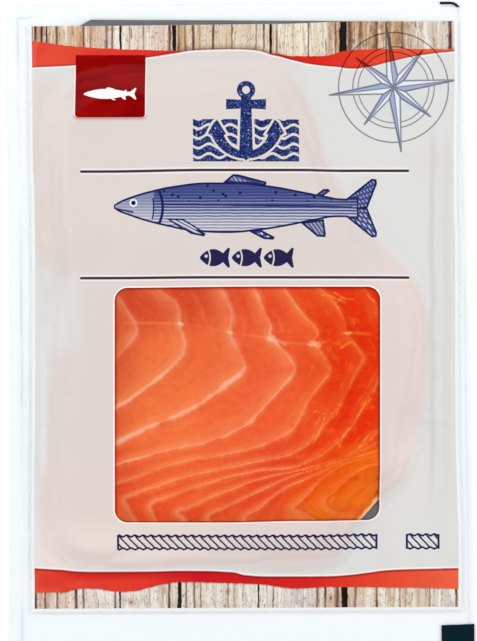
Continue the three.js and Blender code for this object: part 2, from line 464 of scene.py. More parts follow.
def fat_field(x, y):
    """Which fat line a point lies by, as a running number that is whole on each line, how far
    along it, and the distance between the two lines on either side."""
    lines = [np.stack(turned(*smooth_line(line).T, PRINT_TURN), axis=1) for line in FAT_LINES]
    found = [distance_to(x, y, line) for line in lines]
    gaps = np.stack([gap for gap, _, _ in found])
    right_of = np.stack([side > 0 for _, side, _ in found])
    along = np.stack([run for _, _, run in found])
    passed = right_of.sum(axis=0)
    last = len(lines) - 1
    before, after = np.clip(passed - 1, 0, last), np.clip(passed, 0, last)
    to_before = np.take_along_axis(gaps, before[None], 0)[0]
    to_after = np.take_along_axis(gaps, after[None], 0)[0]
    spread = np.where(before == after, OUTER_SPREAD, to_before + to_after)
    share = np.where(passed == 0, 1 - to_after / OUTER_SPREAD, to_before / np.maximum(spread, 1e-6))
    number = passed - 1 + share
    run = np.where(to_before < to_after, np.take_along_axis(along, before[None], 0)[0],
                   np.take_along_axis(along, after[None], 0)[0])
    return number, run, spread


def write_attribute(piece, name, *arrays):
    """Stores three numbers on every point of a mesh."""
    values = np.stack([np.ravel(a) for a in arrays], axis=1)
    piece.data.attributes.new(name, "FLOAT_VECTOR", "POINT").data.foreach_set("vector", np.ravel(values))


def axes(vector):
    """The x, y and z of a vector."""
    split = vector.node("SeparateXYZ", {0: vector}).output.node
    return [Socket(vector.tree, output) for output in split.outputs]


def read_attribute(place, name):
    return axes(place.node("Attribute", output="Vector", attribute_name=name))


def profile(value, points):
    """A smooth curve through some points, drawn over a value."""
    (x0, x1), (y0, y1) = ((min(a), max(a)) for a in zip(*points))
    shares = [((x - x0) / (x1 - x0), (y - y0) / (y1 - y0)) for x, y in points]
    level = value.node("FloatCurve", {"Value": (value - x0) / (x1 - x0)}, points=shares)
    return level * (y1 - y0) + y0


def ramp(value, stops):
    """Colours that run into one another as a value goes from 0 to 1."""
    return value.node("ValToRGB", {0: value}, stops=[(place, paint(*tint)) for place, tint in stops])


def round_spot(x, y, centre, reach):
    """1 at a centre, falling smoothly to 0 at a reach across and a reach up."""
    across, up = (x - centre[0]) / reach[0], (y - centre[1]) / reach[1]
    return (across * across + up * up).between(1.0, 0.0)


def painted(colour, coats):
    """Lays coats of paint over a colour in turn, each with the share of it that covers."""
    for coat in coats:
        colour = colour.blend(*coat)
    return colour


def woven(scale, detail, x, y, z=0.0):
    """Noise over coordinates that follow the lines instead of the axes."""
    return noise(x.node("CombineXYZ", {"X": x, "Y": y, "Z": z}), scale, detail)


def salmon_material():
    material, place = new_material("smoked salmon")
    x, y, _ = axes(place)
    number, run, spread = read_attribute(place, "flesh")
    inset, from_wisp, _ = read_attribute(place, "rim")

    lean = x.between(12, 36)
    fatty = 1 - 0.55 * lean

    # The lines are ragged: they drift from side to side, swell and thin on their way, and fade
    # where they fold.
    drift = noise(place, 0.28, 4.0) - 0.5
    phase = number + 0.5
    offset = (phase.math("FRACT") - 0.5) * spread + 1.3 * drift * spread.between(1.0, 6.0)
    line = number.math("ROUND")
    fray = (run * 1.3, number * 2.0, 9.0)
    from_line = (abs(offset) + 0.95 * (woven(1.0, 5.0, *fray) - 0.5)).most(0.0)
    strength = woven(1.0, 2.0, run * 0.11, line * 3.7).between(0.28, 0.62)
    broken = woven(1.0, 3.0, run * 0.42, line * 5.3, 2.0).between(0.36, 0.56)
    whole = 1 - number.between(1.6, 4.0) * (0.3 + 0.4 * lean) * broken
    upper = y.between(-3, 7) * number.between(3.5, 2.5)
    fold = (y + 9.5) * (y + 9.5)
    fold = fold.between(36.0, 0.0) * x.between(30, 12)
    width = profile(number, FAT_WIDTHS) * (0.5 + 0.9 * strength) * (1 + 0.3 * upper)
    fading = (1 - 0.5 * y.between(-54, -60)) * (1 - 0.45 * fold) * (1 - 0.4 * upper) * whole
    core = from_line.between(width, width * 0.05) * (0.2 + 0.8 * strength) * fading
    veil = from_line.between(width * 2.6 + 0.6, 0.0) * (0.4 + 0.6 * strength) * (1 - 0.5 * upper)
    veil = veil * (1 - 0.5 * y.between(-36, -48) * x.between(-20, 6))
    # Each block of muscle pales towards the line on its right, and is darkest just past a line.
    across = number.math("FRACT")
    pale_side = across.between(0.45, 1.0)
    dark_side = across.between(0.35, 0.04)

    # Muscle: fine streaks that follow the lines, and short fibres across them.
    streaks = woven(1.0, 5.0, number * 5.0, run * 0.10)
    strands = woven(1.0, 3.0, number * 13.0, run * 0.22, 6.0)
    fibres = woven(1.0, 3.0, number * 0.8, run * 1.3, 4.0)
    clouds = noise(place, 0.05, 4.0)
    blotches = grain(place, 0.16, 0.26, 3.0)
    mottle = noise(place, 0.5, 3.0)

    flesh = clouds.between(0.3, 0.7).mix((232, 68, 26), (240, 90, 38))
    patches = [(tint, share * round_spot(x, y, *place_and_reach))
               for tint, share, *place_and_reach in FLESH_PATCHES]
    flesh = painted(flesh, [
        *patches[:-2],
        ((230, 42, 0), 0.9 * lean * y.between(-50, -36)),
        *patches[-2:],
        ((248, 116, 16), 0.42 * lean * blotches.between(0.55, 0.75)),
        ((206, 26, 0), 0.5 * lean * blotches.between(0.45, 0.25)),
        ((250, 150, 96), 0.36 * pale_side * (0.6 + 0.6 * streaks) * fatty),
        ((214, 46, 18), 0.34 * dark_side),
        ((252, 150, 88), 0.20 * streaks.between(0.5, 0.8) * fatty),
        ((212, 42, 16), 0.22 * streaks.between(0.48, 0.2)),
        ((250, 128, 44), 0.55 * lean * streaks.between(0.56, 0.7) * mottle.between(0.4, 0.6)),
        ((252, 146, 80), 0.06 * fibres.between(0.5, 0.75) * fatty),
        ((255, 150, 92), (0.08 * mottle.between(0.5, 0.72) + 0.05 * strands.between(0.5, 0.72)) * fatty),
        ((198, 40, 14), 0.08 * mottle.between(0.5, 0.28) + 0.05 * strands.between(0.5, 0.28)),
        ((252, 146, 94), 0.44 * veil * fatty),
    ])
    fat = ramp(number / 12, FAT_PAINTS)
    fat = painted(fat, [
        ((253, 140, 54), lean),
        ((238, 142, 118), 0.7 * y.between(-14, -4) * number.between(3.4, 2.6)),
    ])
    flesh = flesh.blend(fat, 0.92 * core)

    # The seam: a thin thread, and a smear of fat where it meets each line.
    off_seam = y - profile(x, [turned(*p, PRINT_TURN) for p in SEAM])
    from_seam = abs(off_seam) + 0.3 * (drift + 0.5)
    thread = from_seam.between(0.9, 0.1) * noise(place, 0.12).between(0.34, 0.6)
    reach = (offset * offset * 0.28 + off_seam * off_seam * 0.9).root()
    reach = reach * (1.7 - 0.8 * number.between(2.2, 3.0) * number.between(4.8, 4.2))
    torn = woven(1.0, 3.0, 0.35 * x - 0.2 * y, 1.5 * y + 0.9 * x)
    smear = (reach + 2.6 * (torn - 0.5)).between(1.25, 0.1)
    flesh = painted(flesh, [
        ((250, 142, 82), 0.45 * thread),
        ((254, 196, 160), 0.8 * smear * number.between(0.3, 0.8)),
    ])

    # Wisps of fat, frayed as the lines are.
    wisp = (from_wisp + 0.7 * (woven(1.3, 4.0, *fray) - 0.5)).between(0.55, 0.05) * mottle.between(0.3, 0.5)
    flesh = flesh.blend((252, 150, 80), 0.6 * wisp)

    # Painted shade: the flesh is a little duller at the left and below, where the print's edge shades it.
    right = 45.4 + 0.008 * y - x + 1.5 * y.between(-40, -50)
    shade = (x - 0.008 * y + 39.7).least(13.4 - 0.008 * x - y).least(right)
    flesh = painted(flesh, [
        ((250, 252, 252), y.between(-30, -10), "MULTIPLY"),
        ((240, 240, 243), x.between(-28, -40), "MULTIPLY"),
        ((240, 160, 158), 0.85 * shade.between(1.5, 0.3), "MULTIPLY"),
        ((238, 240, 248), y.between(-54, -62) * x.between(36, 26), "MULTIPLY"),
        ((255, 249, 188), lean, "MULTIPLY"),
    ])

    # A slice's cut edge is paler where it thins out.
    ragged = inset + 1.8 * (noise(place, 0.5, 3.0) - 0.5)
    flesh = flesh.blend((253, 206, 146), 0.85 * ragged.between(1.5, 0.5))

    relief = core * 0.6 + streaks * 0.5 + fibres * 0.25
    normal = place.node("Bump", {"Height": relief, "Strength": 0.35, "Distance": 0.0003})
    finish_material(place.node("BsdfPrincipled", {
        "Base Color": flesh, "Roughness": 0.42 - 0.12 * core, "Normal": normal,
        "Subsurface Weight": 0.12, "Subsurface Radius": (1.0, 0.35, 0.15), "Subsurface Scale": 0.0015,
        "Specular IOR Level": 0.1}))
    return material


def salmon_pile():
    """A square grid drawn onto the pile's outline, domed, with its rim taken down to the board."""
    empty_scene_selection()
    bpy.ops.mesh.primitive_grid_add(x_subdivisions=PILE_GRID, y_subdivisions=PILE_GRID, size=2)
    pile = bpy.context.object
    pile.name = "sliced_salmon"
    bpy.ops.object.mode_set(mode="EDIT")
    bpy.ops.mesh.select_all(action="DESELECT")
    bpy.ops.mesh.select_mode(type="EDGE")
    bpy.ops.mesh.select_non_manifold(extend=False)
    bpy.ops.mesh.extrude_region_move(TRANSFORM_OT_translate={"value": (0, 0, -1)})
    bpy.ops.mesh.edge_face_add()
    bpy.ops.object.mode_set(mode="OBJECT")
    flat = read_points(pile)
    disc_x = flat[:, 0] * np.sqrt(1 - flat[:, 1] ** 2 / 2)
    disc_y = flat[:, 1] * np.sqrt(1 - flat[:, 0] ** 2 / 2)
    angle = np.arctan2(disc_y, disc_x)
    reach = np.hypot(disc_x, disc_y) * outline_radius(angle)
    x, y = PILE_CENTRE[0] + reach * np.cos(angle), PILE_CENTRE[1] + reach * np.sin(angle)
    # Points a hair inside the outline stand for those on it.
    shrunk_x, shrunk_y = ((v - c) * 0.999 + c for v, c in zip((x, y), PILE_CENTRE))
    height, inset = pile_height(shrunk_x, shrunk_y)
    number, run, spread = fat_field(x, y)
    crease = np.exp(-((np.abs((number + 0.5) % 1 - 0.5) * spread) / FAT_CREASE["width"]) ** 2)
    top = BOARD_TOP + PILE_LIFT + height - FAT_CREASE["depth"] * crease
    z = np.where(flat[:, 2] < -0.5, BOARD_TOP + 0.02, top)
    write_points(pile, x, y, z)
    write_attribute(pile, "flesh", number, run, spread)
    wisps = [smooth_line(np.transpose(turned(*np.array(line).T, PRINT_TURN))) for line in WISPS]
    from_wisp = np.min([distance_to(x, y, line)[0] for line in wisps], axis=0)
    write_attribute(pile, "rim", inset, from_wisp, 0 * inset)
    return pile


pile = salmon_pile()
smooth_by_angle(pile)
pile.data.materials.append(salmon_material())
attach(pile, "root")
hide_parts("salmon_slices")


# ---------------------------------------------------------------------------------------------
# Front film. The same laminate, printed on its inner side and backed with white ink, except for
# the window and the margin. The vacuum draws it down over the pile and off the board's edge, and
# a weld joins it to the back film all round.

FRONT_SPACING = 1.0
FRONT_THICKNESS = 0.12
FLANGE = 0.3
SUCTION = 0.13
SWEEPS = 260
CLEARANCE = 0.06
CREASES = 16


def relax(obstacle):
    """Lets a film fall onto what lies under it. In each sweep every point is drawn towards its
    neighbours and down by the suction, but never into the obstacle."""
    for axis in (0, 1):
        shifted = [np.roll(obstacle, step, axis) for step in (-1, 1)]
        obstacle = np.maximum(obstacle, np.maximum(*shifted))
    film = obstacle.copy()
    for _ in range(SWEEPS):
        pulled = film.copy()
        pulled[1:-1, 1:-1] = (film[:-2, 1:-1] + film[2:, 1:-1] + film[1:-1, :-2] + film[1:-1, 2:]) / 4
        film = np.maximum(obstacle, pulled - SUCTION)
    return film


def board_inset(x, y):
    """How far each point is inside the board's outline."""
    rim = np.unique(np.round(read_points(board)[:, :2] / MM, 2), axis=0)
    middle = rim.mean(axis=0)
    rim = rim[np.argsort(np.arctan2(*(rim - middle).T[::-1]))]
    inset = np.full(x.shape, np.inf)
    for (ax, ay), (bx, by) in zip(rim, np.roll(rim, -1, axis=0)):
        length = math.hypot(bx - ax, by - ay)
        inset = np.minimum(inset, ((bx - ax) * (y - ay) - (by - ay) * (x - ax)) / length)
    return inset


def creases(x, y):
    """Narrow folds that run from the pile's edge out towards the weld."""
    random = np.random.default_rng(11)
    total = np.zeros_like(x)
    for k in range(CREASES):
        angle = math.tau * (k + random.uniform(-0.3, 0.3)) / CREASES
        heading = angle + random.uniform(-0.35, 0.35)
        start = outline_radius(angle) - random.uniform(0, 3)
        ax, ay = PILE_CENTRE[0] + start * math.cos(angle), PILE_CENTRE[1] + start * math.sin(angle)
        length, height, width = random.uniform(9, 24), random.uniform(0.12, 0.42), random.uniform(0.8, 1.3)
        t = (x - ax) * math.cos(heading) + (y - ay) * math.sin(heading)
        off = (y - ay) * math.cos(heading) - (x - ax) * math.sin(heading)
        taper = smoothstep(t / 4) * smoothstep((length - t) / (0.7 * length))
        total += height * taper * np.exp(-(off / (width * (1 + t.clip(0) / 30))) ** 2)
    return total


def front_film_shape():
    """The underside of the front film on a grid, and how far each point is inside the pile's
    outline, the board's and the pouch's."""
    sheet, x, y, to_edge = film_sheet("front_film_sheet", FRONT_SPACING)
    height, inset = pile_height(x, y)
    on_board = board_inset(x, y)
    obstacle = np.where(on_board > -0.7, BOARD_TOP + CLEARANCE, FLANGE)
    obstacle = np.where(inset > 0, BOARD_TOP + height + CLEARANCE + PILE_LIFT, obstacle)
    film = relax(obstacle)
    loose = smoothstep((to_edge - WELD_WIDTH) / 3)
    film += loose * (creases(x, y) + 0.035 * (1 + waves(x, y, 9.0, seed=5)) * smoothstep(-inset / 2))
    film += 0.1 * np.exp(-((to_edge - WELD_WIDTH - 0.9) / 0.8) ** 2)
    return sheet, x, y, film, (inset, on_board, to_edge)


# The print, in millimetres from the middle of the pouch, x to the right and y up. It isn't quite
# square to the pouch.
PANEL_TOP = [(-68, 84.1), (-52.5, 84.85), (-29.4, 87.35), (-20, 88.8), (-12.7, 89.75), (-1, 90.0),
             (10.8, 88.2), (17.5, 86.5), (25.2, 84.95), (32.6, 84.25), (37.1, 83.8), (40.3, 84.1),
             (48, 85.8), (58, 88.0), (72, 89.75)]
TOP_WAVE = [(-68, 93), (-49.9, 90.8), (-37.4, 90.1), (-21.4, 89.6), (-6, 88.6), (6, 88.2),
            (11, 88.7), (17.5, 87.9), (25.2, 87.9), (32.6, 89.2), (37.7, 89.9), (48, 90.2), (72, 90.2)]
PANEL_FOOT = [(-68, -76.9), (-57, -77.55), (-47, -78.15), (-27.4, -78.05), (-17.5, -77.85),
              (-2.7, -78.25), (2.4, -79.25), (12.4, -79.65), (27.8, -79.6), (35.1, -79.2),
              (41.6, -78.45), (51.8, -77.45), (72, -77.0)]
FOOT_WAVE = [(-68, -84.9), (-57, -84.9), (-49.6, -83.6), (-42.2, -84.2), (-37.4, -84.6),
             (-30, -83.5), (-22.6, -82), (-17.5, -81.5), (-7.9, -81.7), (7.2, -82.3), (14.9, -83.3),
             (19.1, -83.6), (28, -83.1), (51.8, -83.3), (72, -83.8)]
# The reds along the waves, each with its share of the print's width.
WAVE_REDS = [(0.0, (221, 77, 57)), (0.27, (220, 56, 44)), (0.4, (198, 24, 38)), (0.55, (198, 34, 36)),
             (0.66, (212, 38, 32)), (0.8, (222, 66, 44)), (1.0, (232, 97, 66))]
# The print's own edges, as places along them and how far out they lie.
PRINT_LEFT = [(-91, -65.7), (-50, -65.8), (-25, -65.5), (10, -65.5), (38, -65.7), (56, -66.28),
              (81, -66.5), (100, -66.8)]
PRINT_RIGHT = [(-91, 70.9), (-76, 70.9), (-50, 70.3), (-15, 69.8), (28, 69.8), (37, 69.4),
               (57, 69.3), (81, 69.6), (100, 69.5)]
PRINT_FOOT, PRINT_HEAD = -89.9, 98.1
WINDOW = {"centre": (2.85, -24.4), "size": (84.95, 75.1), "corner": 4.1}
KEYLINE = 0.42
TAB = {"centre": (-41.2, 83.88), "size": (22.5, 32.2), "corner": 1.1}
TAB_FISH = {"centre": (-41.2, 75.4), "length": 17.0}
ANCHOR = (2.4, 66.6)
ENGRAVING = {"centre": (2.6, 38.9), "length": 85.0}
SMALL_FISH = (2.7, 22.8)
ROPE_HEIGHT = -68.4
RULES, RULE_ENDS = (50.85, 16.52), (-50.7, 54.9)
MARK_INK = (12, 32, 42)


def ink_edge(depth, soft=0.13):
    """Ink coverage from the depth inside an outline in millimetres."""
    return depth.math("MULTIPLY_ADD", 1 / soft, 0.5, clamp=True)


def far(x, y):
    """How far a place is from the middle."""
    return (x * x + y * y).root()


def plate_depth(x, y, centre, size, corner):
    """Depth inside a rectangle with round corners."""
    across = abs(x - centre[0]) - (size[0] / 2 - corner)
    up = abs(y - centre[1]) - (size[1] / 2 - corner)
    beyond_x, beyond_y = across.most(0.0), up.most(0.0)
    return corner - far(beyond_x, beyond_y) - across.most(up).least(0.0)


def ring_depth(x, y, radius, stroke):
    """Depth inside a drawn circle."""
    return stroke / 2 - abs(far(x, y) - radius)


def stripe_depth(value, pitch, stroke):
    """Depth inside lines that repeat along a value."""
    return stroke / 2 - value.math("PINGPONG", pitch / 2)


def facet_depth(x, y, *corners):
    """Depth inside a shape with straight sides that all turn left."""
    sides = []
    for (ax, ay), (bx, by) in zip(corners, corners[1:] + corners[:1]):
        length = math.hypot(bx - ax, by - ay)
        across, up = (ay - by) / length, (bx - ax) / length
        sides.append(x * across + y * up - (ax * across + ay * up))
    return reduce(Socket.least, sides)


FISH_BACK = [(0, 0.9), (2, 2.2), (6, 3.9), (14, 6.3), (24, 8.3), (36, 9.4), (46, 9.4), (58, 8.3), (70, 6.2),
             (80, 4.4), (87, 3.6), (93, 4.0)]
FISH_BELLY = [(0, -0.4), (2, -1.7), (6, -3.2), (12, -5.2), (20, -7.2), (30, -9.0), (42, -9.7), (54, -8.8),
              (66, -6.9), (76, -4.9), (86, -3.6), (93, -3.9)]
FISH_FINS = [
    [(40, 8.5), (57, 8), (57.6, 9.6), (47, 12.4), (44.8, 12.5)],
    [(75.5, 4.4), (78.5, 4.0), (81.6, 6.4), (80.8, 7.2), (78.8, 7.0)],
    [(49.5, -8.4), (56.5, -12), (60, -12.2), (60.6, -11.2), (55, -8.2)],
    [(70, -5.6), (76.5, -11), (79.6, -11.2), (79.8, -10), (79, -4.4)],
    [(87, 3.0), (91, -0.5), (95.8, 0), (99.4, 9.2), (99.2, 10.9), (97.4, 11.2)],
    [(87, -3.0), (97.4, -11.2), (99.2, -10.9), (99.4, -9.2), (95.8, 0), (91, 0.5)],
]
FLIPPER = [(20.5, -4.4), (29, -10), (34, -11), (34.6, -9.9), (26, -4.6)]


def salmon_figure(x, y, centre, length):
    """A fish seen from its left side: the depths of its body and of its fins, and its own x and y,
    which run to 100 over its length."""
    unit = length / 100
    u = (x - (centre[0] - length / 2)) / unit
    v = (y - centre[1]) / unit
    body = (profile(u, FISH_BACK) - v).least(v - profile(u, FISH_BELLY)).least(u * 1.6).least(92 - u)
    fins = reduce(Socket.most, [facet_depth(u, v, *corners) for corners in FISH_FINS])
    return body * unit, fins * unit, u, v


COMPASS = {"centre": (49.9, 77.8), "turn": math.radians(6.8), "line": 0.16}
# The long arms and the short ones: how far they reach, how wide they are at the waist, how fast
# they narrow to their points, and how far they are turned.
COMPASS_ARMS = [(21.0, 0.52, 0.098, 0.0), (15.4, 0.5, 0.115, math.pi / 4)]
COMPASS_RINGS = [(13.1, 0.4), (11.4, 0.36), (17.7, 0.44)]


def compass_inks(x, y):
    """A compass rose: the coverage of its lines, of the shaded half of each arm, of its arms and
    of its inner disc."""
    x, y = x - COMPASS["centre"][0], y - COMPASS["centre"][1]
    lines, shades, arms = [], [], []
    uncovered = 1.0
    for reach, waist, slope, turn in COMPASS_ARMS:
        a, b = turned(x, y, -COMPASS["turn"] - turn)
        out, near = abs(a).most(abs(b)), abs(a).least(abs(b))
        body = (out * waist).least((reach - out) * slope) - near
        arm = ink_edge(body)
        stroke = (0.25 - abs(body)).least((reach - out) * 0.5)
        outline = ink_edge(stroke, COMPASS["line"]).most(ink_edge(0.17 - near, COMPASS["line"]) * arm)
        side = a * b * (abs(a) - abs(b)).math("SIGN")
        arms.append(arm)
        lines.append(outline * uncovered)
        shades.append(arm * side.math("LESS_THAN", 0.0) * uncovered)
        uncovered = (1 - arm) * uncovered
    rings = reduce(Socket.most, [ring_depth(x, y, *ring) for ring in COMPASS_RINGS])
    lines.append(ink_edge(rings, COMPASS["line"]) * uncovered)
    disc = ink_edge(COMPASS_RINGS[1][0] - far(x, y))
    return *(reduce(Socket.most, inks) for inks in (lines, shades, arms)), disc


# The planks at the top and at the foot of the print: the tone from each place on, the gaps
# between them as a place and half a width, and the worst cracks and worn streaks in them, as a
# place, half a width and a strength. Places and tones run over PRINT_SPAN from its left.
PRINT_START, PRINT_SPAN = -68, 140
TOP_TONES = [(-68, (176, 112, 94)), (-59, (210, 194, 168)), (-50, (200, 152, 114)), (-38, (222, 213, 200)),
             (-22, (214, 190, 174)), (-19, (203, 176, 138)), (-8, (211, 192, 166)), (11, (216, 200, 174)),
             (22, (234, 224, 204)), (34, (178, 136, 98)), (52, (192, 160, 126)), (60, (208, 196, 182))]
TOP_GAPS = [(-61.8, 0.22), (-38.0, 0.32), (-20.7, 0.62), (10.35, 0.42), (33.6, 1.3)]
TOP_CRACKS = [(-65.6, 0.5, 0.9), (-63.4, 0.4, 0.9), (-58.6, 0.4, 0.7), (-49.9, 0.45, 0.6), (-47.6, 0.3, 0.5),
              (-42.6, 0.9, 0.6), (-40.6, 0.3, 0.6), (-35.2, 0.25, 0.4), (-30.6, 0.3, 0.45),
              (-22.2, 0.5, 0.8), (-19.4, 0.6, 0.6), (-17.2, 0.3, 0.6), (-14.6, 0.45, 0.9),
              (-12.6, 0.4, 0.4), (-8.2, 0.45, 0.85), (-2.1, 0.3, 0.6), (5.7, 0.3, 0.5), (8.1, 0.3, 0.7),
              (12.3, 0.4, 0.5), (22.5, 0.3, 0.75), (31.2, 0.3, 0.7), (35.9, 1.0, 0.8), (39.2, 0.5, 0.5),
              (44.3, 0.6, 0.7), (48.6, 0.4, 0.5), (52.6, 0.7, 0.5), (68.1, 0.55, 1.3)]
FOOT_TONES = [(-68, (196, 156, 138)), (-58, (214, 192, 178)), (-50, (222, 210, 199)), (-38, (221, 215, 206)),
              (-20, (216, 206, 190)), (-4, (220, 212, 198)), (6, (222, 217, 206)), (20, (210, 202, 198)),
              (34, (200, 172, 142)), (44, (222, 210, 190)), (58, (212, 196, 174)), (68, (204, 190, 176))]
FOOT_GAPS = [(-38.2, 0.3), (-19.0, 0.66), (6.4, 0.28), (34.2, 1.0)]
FOOT_CRACKS = [(-65.4, 0.5, 0.8), (-62.3, 0.4, 0.7), (-58.4, 0.3, 0.7), (-52.4, 0.5, 0.9), (-49.8, 0.4, 0.6),
               (-39.7, 0.4, 0.6), (-22.3, 0.5, 0.8), (-16.9, 0.3, 0.6), (-14.2, 0.4, 0.6), (-12.2, 0.3, 0.5),
               (-3.4, 0.3, 0.5), (11.2, 0.3, 0.5), (25.3, 0.4, 0.7), (27.9, 0.4, 0.7), (31.8, 0.8, 0.8),
               (37.6, 0.5, 0.6), (44.6, 0.35, 0.8), (52.0, 0.3, 0.5), (61.5, 0.4, 0.4), (70.1, 0.3, 0.8)]
FOOT_KNOTS = [(-34.6, -87.9), (-24.2, -84.0), (-3.6, -84.6), (29.6, -86.5)]
GAP_SOFT = 1 / 6


def along_print(place):
    """A place from left to right as a share of the print's width."""
    return (place - PRINT_START) / PRINT_SPAN


def plank_colour(place, x, y):
    """Whitewashed planks, upright, with worn grain and dark gaps between them."""
    wander = grain(place, 0.4, 0.09, 2.0) - 0.5
    ripple = grain(place, 0.8, 0.45, 2.0) - 0.5
    across = x + 0.5 * wander + 0.5 * ripple
    slip = grain(place, 0.9, 0.0, 2.0)
    upright = (x + 0.6 * ripple, 0.09 * y + 6.0 * slip)
    fine = woven(1.8, 3.0, *upright)
    broad = woven(0.42, 3.0, *upright)
    worn = grain(place, 0.5, 0.3, 4.0)
    at_top = y.between(-1, 1)
    top, foot = (ramp(along_print(across), [(along_print(edge), tone) for edge, tone in tones])
                 for tones in (TOP_TONES, FOOT_TONES))
    specks = grain(place, 1.5, 0.8, 2.0)
    knots = reduce(Socket.least, [far((x - knot_x) * 1.3, y - knot_y) for knot_x, knot_y in FOOT_KNOTS])
    knots = knots + 2.6 * (worn - 0.5)
    wood = painted(at_top.mix(foot, top), [
        ((242, 240, 232), 0.6 * broad.between(0.5, 0.64)),
        ((170, 124, 86), 0.45 * broad.between(0.46, 0.34)),
        ((136, 100, 80), 0.75 * fine.between(0.46, 0.34) * worn.between(0.34, 0.6)),
        ((72, 46, 36), 0.7 * fine.between(0.36, 0.28)),
        ((244, 242, 236), 0.5 * fine.between(0.56, 0.68)),
        ((128, 92, 70), 0.6 * specks.between(0.58, 0.7)),
        ((120, 50, 40), 0.5 * x.between(-56, -62) * fine.between(0.52, 0.4) * at_top),
        ((92, 66, 50), 0.6 * worn.between(0.5, 0.66) * x.between(32, 36) * x.between(60, 50) * at_top),
        ((196, 160, 134), 0.6 * knots.between(1.9, 0.9)),
        ((96, 62, 48), 0.8 * knots.between(0.8, 0.2)),
    ])
    gaps, cracks = [], []
    for places, lines, end in ((TOP_GAPS, TOP_CRACKS, y), (FOOT_GAPS, FOOT_CRACKS, -1.0 * y)):
        for middle, half in places:
            gaps.append(ink_edge((half + 0.7 * wander * half - abs(across - middle)).least(end), GAP_SOFT))
        for middle, half, strength in lines:
            depth = 1 - abs(across - middle) * (1 / (half + 0.25))
            cracks.append(depth.least(end).most(0.0) * strength)
    cracks = reduce(Socket.most, cracks)
    cracks = cracks * (0.2 + 1.2 * grain(place, 0.7, 0.16, 2.0)) + 0.25 * (fine - 0.5) * cracks
    return painted(wood, [
        ((122, 82, 66), 0.85 * cracks.between(0.04, 0.44)),
        ((50, 28, 24), 0.8 * cracks.between(0.36, 0.72)),
        ((10, 4, 4), 0.98 * reduce(Socket.most, gaps)),
    ])


def print_layers(place):
    """What is printed: its colour and where it covers the film."""
    px, py, _ = axes(place)
    x, y = turned(px, py, -PRINT_TURN)

    # The film's pull lifts the window's right-hand side a little.
    at_head = y.between(-44, 0)
    lift = 0.42 * x.between(-42, 6) * at_head + 0.46 * x.between(-4, 18) * (1 - at_head)
    window = plate_depth(x, y - lift, **WINDOW)
    field = (x - profile(y, PRINT_LEFT)).least(profile(y, PRINT_RIGHT) - x)
    field = field.least(y - (PRINT_FOOT + 0.0044 * x))
    # The white ink behind the print shows a little beyond it, except at its head. Its wide, soft
    # fade is also painted light that lifts the shadow the print casts on the table beside it.
    head = PRINT_HEAD + 0.0118 * x + 0.5 * x.between(14, 34) - 0.14 * x.between(44, 66) - y
    head = head + 0.25 * x.between(-50, -60)
    overlap = 0.8 * (field + 2.1).between(0.0, 1.7) * ink_edge(head)
    field = field.least(head)
    # The register marks at two corners. The pouch's round corner cuts the upper one short.
    over, up = (px - 69.0).most(0.0), (py - 101.4).most(0.0)
    band = 0.42 - abs(far(over, up) - 3.16)
    lower_mark = (px - 64.65).least(-95.8 - py + 0.03 * (px - 70))
    marks = ink_edge(lower_mark.most((px - 65.7).least(band).least(py - 103.2)))
    covered = ink_edge(field).most(overlap) * (1 - ink_edge(window))
    return x, y, window, field, covered, marks


